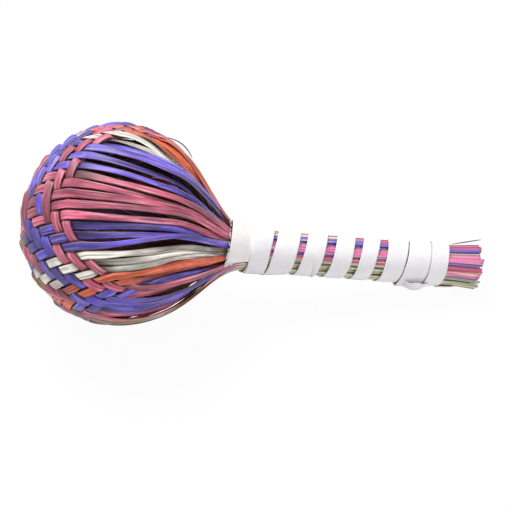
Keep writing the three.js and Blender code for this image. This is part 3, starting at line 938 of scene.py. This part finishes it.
def ribbon_tree():
    """A ribbon with a thickness, across a spine whose points hold its half width and outward direction."""
    t, given = new_geometry_tree(
        "ribbon_on_spine", Columns="Int", Thickness="Float", Unevenness="Float", Grain="Float",
        Face="Material", Edge="Material", Inside="Material",
    )
    spine, columns, thickness = given["Geometry"], given["Columns"], given["Thickness"]
    size = t.node("GeometryNodeAttributeDomainSize", {"component": "MESH"}, Geometry=spine)
    grid = t.node("GeometryNodeMeshGrid", Vertices_X=size.outputs["Point Count"], Vertices_Y=columns)
    index = t.node("GeometryNodeInputIndex")
    row = t.math("FLOOR", t.math("DIVIDE", t.math("ADD", index, 0.5), columns))
    column = t.minus(index, t.times(row, columns))
    share = t.math("DIVIDE", column, t.minus(columns, 1))
    side = t.math("MULTIPLY_ADD", share, 2, -1)

    def on_row(value, kind):
        settings = {"data_type": kind, "domain": "POINT"}
        return t.out(t.node("GeometryNodeSampleIndex", settings, Geometry=spine, Value=value, Index=row))

    def held(name, kind="FLOAT"):
        return on_row(t.node("GeometryNodeInputNamedAttribute", {"data_type": kind}, Name=name), kind)

    middle = on_row(t.node("GeometryNodeInputPosition"), "FLOAT_VECTOR")
    across, outward, ragged = (held(name, "FLOAT_VECTOR") for name in ("across", "outward", "ragged"))
    shades = {name: held(name) for name in SHADE_VALUES}
    length = held("length")
    crown = t.times(held("crown"), t.minus(1, t.times(side, side)))
    folds = t.math("COSINE", t.times(side, math.tau))
    crown = t.math("ADD", crown, t.times(held("pleat"), folds))
    grain_place = t.node("ShaderNodeCombineXYZ", X=length, Y=t.times(side, GRAIN_SPAN), Z=shades["tone"])
    noise = t.node("ShaderNodeTexNoise", Vector=grain_place, Detail=2.0, Scale=given["Grain"])
    bumps = t.times(t.minus(t.out(noise), 0.5), given["Unevenness"])
    rise = t.math("ADD", crown, t.minus(bumps, t.times(thickness, 0.5)))
    frayed = t.node("FunctionNodeRandomValue", {"data_type": "FLOAT"}, ID=index, Seed=3)
    place = middle
    for vector, factor in ((across, side), (outward, rise), (ragged, t.out(frayed))):
        place = t.vector("ADD", place, t.scaled(vector, factor))
    sheet = t.node("GeometryNodeSetPosition", Geometry=grid.outputs["Mesh"], Position=place)
    uv = t.node("GeometryNodeFieldOnDomain", {"data_type": "FLOAT_VECTOR", "domain": "POINT"})
    t.fill(uv, Value=t.node("ShaderNodeCombineXYZ", X=share, Y=length))
    stored = {"UVMap": ("FLOAT2", "CORNER", uv)}
    stored.update({name: ("FLOAT", "POINT", value) for name, value in shades.items()})
    for name, (kind, domain, value) in stored.items():
        sheet = t.node(
            "GeometryNodeStoreNamedAttribute", {"data_type": kind, "domain": domain},
            Geometry=sheet, Name=name, Value=value,
        )

    thick = t.node(
        "GeometryNodeExtrudeMesh", {"mode": "FACES"}, Mesh=sheet, Offset_Scale=thickness, Individual=False,
    ).outputs
    whole = t.node("GeometryNodeJoinGeometry")
    t.set(whole.inputs[0], t.node("GeometryNodeFlipFaces", Mesh=sheet))
    t.set(whole.inputs[0], thick["Mesh"])
    closed = t.node("GeometryNodeMergeByDistance", Geometry=whole, Distance=1e-7)
    paints = ((True, given["Inside"]), (thick["Side"], given["Edge"]), (thick["Top"], given["Face"]))
    return t.finished(closed, paints, thick["Side"])


def fibre_tree():
    """A round fibre along each row of joined points, as thick as the points say."""
    t, given = new_geometry_tree("fibre_on_row", Sides="Int", Face="Material")
    rows = t.node("GeometryNodeMeshToCurve", Mesh=given["Geometry"])
    thick = t.node("GeometryNodeInputNamedAttribute", {"data_type": "FLOAT"}, Name="thick")
    ring = t.node("GeometryNodeCurvePrimitiveCircle", Resolution=given["Sides"], Radius=1.0)
    fibre = t.node(
        "GeometryNodeCurveToMesh",
        Curve=rows, Profile_Curve=ring.outputs["Curve"], Fill_Caps=True, Scale=thick,
    )
    return t.finished(fibre, [(True, given["Face"])])


def kernel_tree():
    """A seed: a smooth kernel with a few shallow dents that fills its box."""
    t, given = new_geometry_tree(
        "kernel_in_box", Middle="Vector", Half_Size="Vector", Variant="Float", Face="Material",
    )
    ball = t.node("GeometryNodeMeshIcoSphere", Radius=1.0, Subdivisions=5)
    place = t.out(t.node("GeometryNodeInputPosition"))
    seat = t.vector("ADD", place, t.node("ShaderNodeCombineXYZ", X=given["Variant"]))
    noise = t.node("ShaderNodeTexNoise", Vector=seat, Scale=1.4, Detail=2.0)
    dents = t.math("MULTIPLY_ADD", t.out(noise), -0.22, 1.0)
    place = t.vector("MULTIPLY", t.scaled(place, dents), given["Half Size"])
    place = t.vector("ADD", place, given["Middle"])
    kernel = t.node("GeometryNodeSetPosition", Geometry=ball.outputs["Mesh"], Position=place)
    return t.finished(kernel, [(True, given["Face"])])


def linked(name, data):
    """A new object in the scene."""
    piece = bpy.data.objects.new(name, data)
    bpy.context.scene.collection.objects.link(piece)
    return piece


def points_object(name, points, edges, values):
    """Joined points on the table that hold named values."""
    mesh = bpy.data.meshes.new(name)
    mesh.from_pydata([tuple(point) for point in points], edges, [])
    for label, numbers in values.items():
        vector = numbers.ndim == 2
        attribute = mesh.attributes.new(label, "FLOAT_VECTOR" if vector else "FLOAT", "POINT")
        attribute.data.foreach_set("vector" if vector else "value", numbers.astype(np.float32).ravel())
    return linked(name, mesh)


def row_object(name, rows, thickness):
    """Rows of joined points, each tapering to both of its ends."""
    edges = []
    thick = []
    first = 0
    for row in rows:
        edges += [(i, i + 1) for i in range(first, first + len(row) - 1)]
        first += len(row)
        arch = np.sin(math.pi * np.linspace(0, 1, len(row))) ** 0.5
        thick.append(thickness / 2 * lerp(FIBRE_TIP, 1, arch))
    return points_object(name, to_table(np.concatenate(rows)), edges, {"thick": np.concatenate(thick)})


def spine_object(name, spine):
    values = dict(spine)
    points = values.pop("place")
    return points_object(name, points, [(i, i + 1) for i in range(len(points) - 1)], values)


def add_tree(piece, tree, values):
    """Puts a geometry tree on a piece, with its inputs set by the sockets' identifiers."""
    modifier = piece.modifiers.new(tree.name, "NODES")
    modifier.node_group = tree
    sockets = {item.name: item.identifier for item in tree.interface.items_tree if item.in_out == "INPUT"}
    for name, value in values.items():
        modifier[sockets[name]] = value


def settle(pieces):
    """Turns what the trees make into plain meshes."""
    graph = bpy.context.evaluated_depsgraph_get()
    meshes = [bpy.data.meshes.new_from_object(piece.evaluated_get(graph)) for piece in pieces]
    for piece, mesh in zip(pieces, meshes):
        piece.modifiers.clear()
        piece.data = mesh
        mesh.name = piece.name


# Materials


def screen(red, green, blue):
    """A colour as it looks on the screen, as scene-linear light."""
    return (*(((c + 0.055) / 1.055) ** 2.4 if c > 0.04045 else c / 12.92 for c in (red, green, blue)), 1)


DYES = {
    "rose": screen(0.80, 0.37, 0.49),
    "violet": screen(0.41, 0.34, 0.82),
    "orange": screen(0.89, 0.38, 0.21),
    "pale": screen(0.98, 0.98, 0.92),
    "gold": screen(0.60, 0.46, 0.23),
}
# The dyes as the bound ends in the handle show them, where less light has bleached them
BOUND_DYES = {
    "rose": screen(0.88, 0.52, 0.67),
    "violet": screen(0.46, 0.41, 0.78),
    "orange": screen(0.75, 0.34, 0.48),
    "pale": screen(0.90, 0.62, 0.72),
    "gold": screen(0.72, 0.62, 0.42),
}
LEAF = screen(0.58, 0.42, 0.20)
LEAF_WORN = 0.75  # how much of it shows along the edges
INSIDE_FADE = 0.5  # the inside is half undyed, and darker by painted shade
INSIDE_SHADE = 0.55
STREAK_DARK = (0.34, 0.24, 0.30, 1)  # what a dye is multiplied by in its dark streaks
STREAK_LIGHT = (1.0, 0.90, 0.88, 1)
CRIMSON = (0.55, 0.26, 0.36, 1)
FOLD_CREAM = screen(0.93, 0.84, 0.70)
# Undyed ends in the handle
STRAW_GREEN = screen(0.78, 0.80, 0.66)
STRAW_CREAM = screen(0.93, 0.91, 0.86)
STRAW_BROWN = screen(0.68, 0.60, 0.40)
STRAW_GOLD = screen(0.76, 0.66, 0.42)
STRAW_DARK = screen(0.33, 0.31, 0.28)
TAPE_WHITE = screen(0.905, 0.898, 0.908)
TAPE_CREAM = screen(0.92, 0.90, 0.89)
TAPE_LINT = screen(0.85, 0.83, 0.82)
TAPE_SHADE = screen(0.77, 0.75, 0.75)
SEED_CREAM = screen(0.86, 0.80, 0.66)
SEED_FLECK = screen(0.60, 0.46, 0.28)
FLOOR_GREY = (0.86, 0.86, 0.86, 1)
SKY = (0.97, 0.98, 1.0, 1)
WHITE = (1, 1, 1, 1)


def new_material(name):
    material = bpy.data.materials.new(name)
    material.use_nodes = True
    return material, Tree(material.node_tree), material.node_tree.nodes["Principled BSDF"]


def palm_fibre_group():
    """Dyed palm leaf: streaks along the splint, a shade of its own, and undyed leaf along its edges."""
    t = new_tree(
        "palm_fibre", "ShaderNodeTree",
        {"Dye": "Color", "Bound Dye": "Color", "Leaf": "Color", "Worn": "Float"},
        {"Color": "Color", "Roughness": "Float", "Height": "Float"},
    )
    given = t.node("NodeGroupInput").outputs
    dye, bound_dye, leaf, worn = (given[name] for name in ("Dye", "Bound Dye", "Leaf", "Worn"))
    across, along = t.ribbon_place()
    tone, bound, bare, soil = (t.attribute(name) for name in SHADE_VALUES)

    def streaks(over, down, detail):
        sides = {"X": t.times(across, over), "Y": t.times(along, down), "Z": t.times(tone, 91.0)}
        place = t.node("ShaderNodeCombineXYZ", **sides)
        noise = t.node("ShaderNodeTexNoise", Vector=place, Scale=1.0, Detail=detail, Roughness=0.6)
        return noise.outputs["Fac"]

    broad = streaks(6.0, 40.0, 2.0)
    fine = streaks(20.0, 60.0, 3.0)
    blotch = streaks(0.7, 60.0, 2.0)
    folds = streaks(4.0, 9.0, 1.0)
    slow = streaks(0.4, 26.0, 1.0)
    dark = t.mix(1.0, dye, STREAK_DARK, "MULTIPLY")
    light = t.mix(0.30, dye, STREAK_LIGHT)
    # A lengthwise crease on some splints: a dip in the height, with painted shade along it
    crease = t.math("ABSOLUTE", t.minus(across, t.math("MULTIPLY_ADD", tone, 0.5, 0.25)))
    crease = t.times(t.ranged(crease, 0.10, 0.03), t.ranged(blotch, 0.46, 0.60))
    color = t.layers(dark, (
        (t.ranged(broad, 0.30, 0.56), dye),
        (t.ranged(broad, 0.54, 0.70), light),
        (t.ranged(fine, 0.54, 0.72, 0.7), light),
        (t.ranged(fine, 0.44, 0.30, 0.6), dark),
        (t.ranged(blotch, 0.52, 0.34, 0.5), dark),
        (t.times(crease, 0.7), dark),
    ))
    value = t.times(t.math("MULTIPLY_ADD", tone, 0.3, 0.90), t.ranged(slow, 0.36, 0.60, 1.12, 0.50))
    # The next line darkens the splint by up to 0.7 with painted shade, under crossings and near the tape
    value = t.times(value, t.math("MULTIPLY_ADD", soil, -0.70, 1.0))
    shaded = t.out(t.node("ShaderNodeHueSaturation", Color=color, Value=value))
    undyed = t.out(t.node("ShaderNodeHueSaturation", Color=leaf, Value=value))
    rim = t.math("ABSOLUTE", t.minus(across, 0.5))
    brown = t.times(t.ranged(rim, 0.36, 0.48), t.ranged(blotch, 0.42, 0.56))
    crimson = t.mix(1.0, bound_dye, CRIMSON, "MULTIPLY")
    dyed = t.layers(bound_dye, (
        (t.ranged(fine, 0.40, 0.60, 0.45), crimson),
        (t.ranged(folds, 0.60, 0.64), FOLD_CREAM),
        (t.ranged(folds, 0.42, 0.38), crimson),
    ))
    straw = t.layers(STRAW_GREEN, (
        (t.ranged(tone, 0.42, 0.50), STRAW_CREAM),
        (t.ranged(tone, 0.72, 0.80), STRAW_BROWN),
        (t.ranged(folds, 0.56, 0.60), STRAW_GOLD),
        (t.ranged(folds, 0.42, 0.38), STRAW_DARK),
    ))
    color = t.layers(shaded, (
        (t.times(brown, worn), leaf),
        (t.ranged(rim, 0.43, 0.50, 0.55), dark),
        (t.times(bare, 0.85), undyed),
        (bound, t.mix(bare, dyed, straw)),
    ))
    height = t.math("MULTIPLY_ADD", fine, 0.5, t.times(broad, 0.8))
    roughness = t.ranged(fine, 0.3, 0.7, 0.58, 0.36)
    t.node("NodeGroupOutput", Color=color, Roughness=roughness, Height=t.minus(height, crease))
    return t.tree


def splint_material(name, group, dye, bound_dye, worn):
    material, t, shader = new_material(name)
    fibre = t.node(
        "ShaderNodeGroup", {"node_tree": group}, Dye=dye, Bound_Dye=bound_dye, Leaf=LEAF, Worn=worn,
    ).outputs
    bump = t.node("ShaderNodeBump", Height=fibre["Height"], Strength=0.35, Distance=0.15 * MM)
    t.fill(shader, Base_Color=fibre["Color"], Roughness=fibre["Roughness"], Normal=bump)
    return material


def splint_materials():
    group = palm_fibre_group()
    materials = {}
    for dye, color in DYES.items():
        faded = lerp(np.array(color[:3]), np.array(LEAF[:3]), INSIDE_FADE)
        # the inside faces are half undyed leaf, darkened by INSIDE_SHADE as painted shade
        inner = (*faded * INSIDE_SHADE, 1)
        materials[dye] = (
            splint_material(f"{dye}_splint", group, color, BOUND_DYES[dye], LEAF_WORN),
            splint_material(f"{dye}_splint_inside", group, inner, inner, 0.0),
        )
    return materials, splint_material("splint_edge", group, LEAF, LEAF, 0.0)


def tape_material():
    """Plain woven cotton: two sets of threads with painted shade between them, slightly uneven and a little
    soiled.
    """
    material, t, shader = new_material("grip_tape")
    across, along = t.ribbon_place()
    threads = []
    for value in (t.times(across, TAPE_WIDTH), along):
        threads.append(t.math("SINE", t.times(value, math.tau / THREAD_STEP)))
    weave = t.times(*threads)
    lint = t.speckle(160.0, 4.0)
    color = t.layers(TAPE_WHITE, (
        # the first band's cream tint
        (t.attribute("soil"), TAPE_CREAM),
        (t.ranged(lint, 0.40, 0.75, 0.4), TAPE_LINT),
        # painted shade in the hollows between the threads
        (t.ranged(weave, -1.0, 0.2, 0.0, 0.25), TAPE_SHADE),
    ))
    height = t.math("MULTIPLY_ADD", lint, 0.8, t.times(weave, 0.35))
    bump = t.node("ShaderNodeBump", Height=height, Strength=0.5, Distance=0.12 * MM)
    t.fill(shader, Base_Color=color, Roughness=0.9, Normal=bump, Sheen_Weight=0.15)
    return material


def seed_material():
    """A dry seed coat: cream, with faint brown flecks."""
    material, t, shader = new_material("seed")
    flecks = t.speckle(900.0, 3.0)
    color = t.mix(t.ranged(flecks, 0.52, 0.68, 0.7), SEED_CREAM, SEED_FLECK)
    t.fill(shader, Base_Color=color, Roughness=t.ranged(flecks, 0.3, 0.7, 0.55, 0.35))
    return material


# Pieces


def make_splints(tree):
    materials, edge = splint_materials()
    pieces = []
    for family, (label, dyes) in enumerate((("warp", WARP_DYES), ("weft", WEFT_DYES))):
        for index, dye in enumerate(dyes):
            name = f"{label}_splint_{index + 1:02d}"
            piece = spine_object(f"{name}_leaf", splint_spine(family, index))
            face, inside = materials[dye]
            add_tree(piece, tree, {
                "Columns": COLUMNS, "Thickness": SKIN, "Unevenness": SKIN_UNEVENNESS, "Grain": SKIN_GRAIN,
                "Face": face, "Edge": edge, "Inside": inside,
            })
            pieces.append((piece, name, dye))
    settle([piece for piece, _, _ in pieces])
    for piece, node, dye in pieces:
        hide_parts(node)
        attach(piece, "basket")
    return [piece for piece, _, _ in pieces], materials["violet"][0]


def lifted_fibres(rng):
    """Fibres that have split off: one over the upper shoulder, one along the bare end, a few short ones."""
    s = np.linspace(0, 1, 24)
    arch = np.sin(math.pi * s)
    radius = BALL_RADIUS + (lerp(0.8, -0.4, s) + 1.6 * arch) * MM
    rows = [on_ball(lerp(110, 129, s) * DEGREE, lerp(-58, -56, s) * DEGREE) * radius[:, None]]
    x = lerp(TAPE_END_X - 2 * MM, BUTT_X - 1 * MM, s)
    radius = BUNDLE_REACH + (0.8 + 3.4 * s) * MM
    rows.append(moved_over(off_axis(x, radius, lerp(-62, -74, s) * DEGREE)))
    for _ in range(SHORT_FIBRES):
        start = rng.uniform(88, 104)
        polar = (start + s * rng.uniform(8, 16)) * DEGREE
        radius = BALL_RADIUS + (rng.uniform(0.6, 1.4) * arch + 0.4) * MM
        azimuth = (rng.uniform(-70, 100) + rng.uniform(-4, 4) * s) * DEGREE
        rows.append(on_ball(polar, azimuth) * radius[:, None])
    return rows


def make_fibres(tree, material):
    piece = row_object("lifted_fibres", lifted_fibres(draws(FIBRE_STREAM)), FIBRE_THICKNESS)
    add_tree(piece, tree, {"Sides": 6, "Face": material})
    settle([piece])
    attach(piece, "basket")


def fray_rows(rng):
    """Threads that stick out of the tape's first cut end and out of its leading edge."""
    turn, edge = tape_edges()
    edge = edge + BAND_SHIFTS[0] * MM
    rows = []
    s = np.linspace(0, 1, 8)
    for _ in range(CUT_THREADS):
        x = edge[0] + rng.uniform(0, 0.6) ** 1.5 * TAPE_WIDTH + rng.uniform(-2.2, 1.0) * MM * s ** 1.5
        rise = rng.uniform(0.2, 0.6) * MM + rng.uniform(-0.2, 0.7) * MM * s ** 2
        radius = bundle_radius(x) + HEAD_FLARE + rise
        angle = TAPE_START + (rng.uniform(0.2, 2.2) * s + rng.uniform(-0.6, 0.6) * s ** 2) * MM / radius
        rows.append(moved_over(off_axis(x, radius, angle)))
    for _ in range(EDGE_THREADS):
        at = rng.uniform(0, 1) ** 2 * EDGE_TURN
        x = np.interp(at, turn, edge) - rng.uniform(0.3, 1.4) * MM * s + 0.3 * MM
        radius = bundle_radius(x) + HEAD_FLARE + (0.5 + rng.uniform(-0.3, 0.6) * s) * MM
        angle = TAPE_START - at * math.tau + rng.uniform(-0.1, 0.1) * s
        rows.append(moved_over(off_axis(x, radius, angle)))
    return rows


def make_seeds(tree):
    material = seed_material()
    for body in sorted(frame["record"]["behaviour"]["bodies"]):
        if not body.startswith("seed"):
            continue
        low, high = (np.array(corner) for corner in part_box(body))
        piece = linked(f"{body}_kernel", bpy.data.meshes.new(f"{body}_kernel"))
        add_tree(piece, tree, {
            "Middle": tuple((low + high) / 2), "Half Size": tuple((high - low) / 2),
            "Variant": float(low[0] * 900), "Face": material,
        })
        settle([piece])
        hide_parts(body)
        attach(piece, body)


def make_tape(tree, threads):
    wound = winding()
    spines = {
        "grip_tape_cloth": tape_spine(wound),
        "grip_tape_splice": splice_spine(wound),
        "grip_tape_tuck": tuck_spine(),
    }
    material = tape_material()
    fray = row_object("grip_tape_fray", fray_rows(draws(FRAY_STREAM)), THREAD_THICKNESS)
    add_tree(fray, threads, {"Sides": 5, "Face": material})
    strips = []
    for name, spine in spines.items():
        strip = spine_object(name, spine)
        add_tree(strip, tree, {
            "Columns": TAPE_COLUMNS, "Thickness": CLOTH, "Unevenness": CLOTH_UNEVENNESS, "Grain": CLOTH_GRAIN,
            "Face": material, "Edge": material, "Inside": material,
        })
        strips.append(strip)
    settle(strips + [fray])
    tape, *extras = strips
    extras.append(fray)
    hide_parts("grip_tape")
    for part in [tape] + extras:
        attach(part, "basket")


# Stage


def seen_white(t, plain, white, share, output):
    """Shows the camera and mirrors white, while the plain surface gives the object its light and shadow."""
    path = t.node("ShaderNodeLightPath").outputs
    seen = t.math("MAXIMUM", path["Is Camera Ray"], path["Is Glossy Ray"])
    seen = t.math("MAXIMUM", seen, path["Is Transmission Ray"])
    mix = t.node("ShaderNodeMixShader")
    for socket, value in zip(mix.inputs, (t.times(seen, share), plain, white)):
        t.set(socket, value)
    t.node(output, Surface=mix)


def make_floor():
    material, t, _ = new_material("pale_floor")
    t.tree.nodes.clear()
    matt = t.node("ShaderNodeBsdfDiffuse", Color=FLOOR_GREY)
    glow = t.node("ShaderNodeEmission", Color=WHITE, Strength=1.0)
    seen_white(t, matt, glow, 0.95, "ShaderNodeOutputMaterial")
    mesh = bpy.data.meshes.new("floor")
    half = 3.0
    corners = [(-half, -half, 0), (half, -half, 0), (half, half, 0), (-half, half, 0)]
    mesh.from_pydata(corners, [], [(0, 1, 2, 3)])
    mesh.materials.append(material)
    linked("floor", mesh)


def make_world():
    world = bpy.data.worlds.new("studio")
    bpy.context.scene.world = world
    world.use_nodes = True
    t = Tree(world.node_tree)
    t.tree.nodes.clear()
    soft = t.node("ShaderNodeBackground", Color=SKY, Strength=0.36)
    white = t.node("ShaderNodeBackground", Color=WHITE, Strength=1.0)
    seen_white(t, soft, white, 1.0, "ShaderNodeOutputWorld")


def make_lamp(name, place, size, power):
    lamp = bpy.data.lights.new(name, "AREA")
    lamp.shape = "DISK"
    lamp.size = size
    lamp.energy = power
    holder = linked(name, lamp)
    holder.location = place
    aim = Vector((-0.02, 0, 0.04))
    holder.rotation_euler = (aim - Vector(place)).to_track_quat("-Z", "Y").to_euler()


def make_camera():
    """The photograph's view: a long lens from the front, well above the table."""
    elevation = 47 * DEGREE
    azimuth = 3.65 * DEGREE
    distance = 0.9
    focal_pixels = 1758
    picture_pixels = 512
    aim = Vector((-0.0017, -0.0112, 0.035))
    forward = Vector((
        math.sin(azimuth) * math.cos(elevation),
        math.cos(azimuth) * math.cos(elevation),
        -math.sin(elevation),
    ))
    lens = bpy.data.cameras.new("photo_view")
    lens.sensor_width = 36
    lens.lens = focal_pixels / picture_pixels * lens.sensor_width
    camera = linked("photo_view", lens)
    camera.location = aim - forward * distance
    camera.rotation_euler = forward.to_track_quat("-Z", "Y").to_euler()
    bpy.context.scene.camera = camera


make_camera()
ribbon = ribbon_tree()
threads = fibre_tree()
splint_pieces, violet = make_splints(ribbon)
make_tape(ribbon, threads)
make_fibres(threads, violet)
make_seeds(kernel_tree())
make_floor()
make_world()
make_lamp("key", (-0.3, 0.5, 1.1), size=0.8, power=16.8)
make_lamp("fill", (0.5, -0.9, 0.8), size=0.9, power=6)
bpy.context.scene.view_settings.view_transform = "Standard"
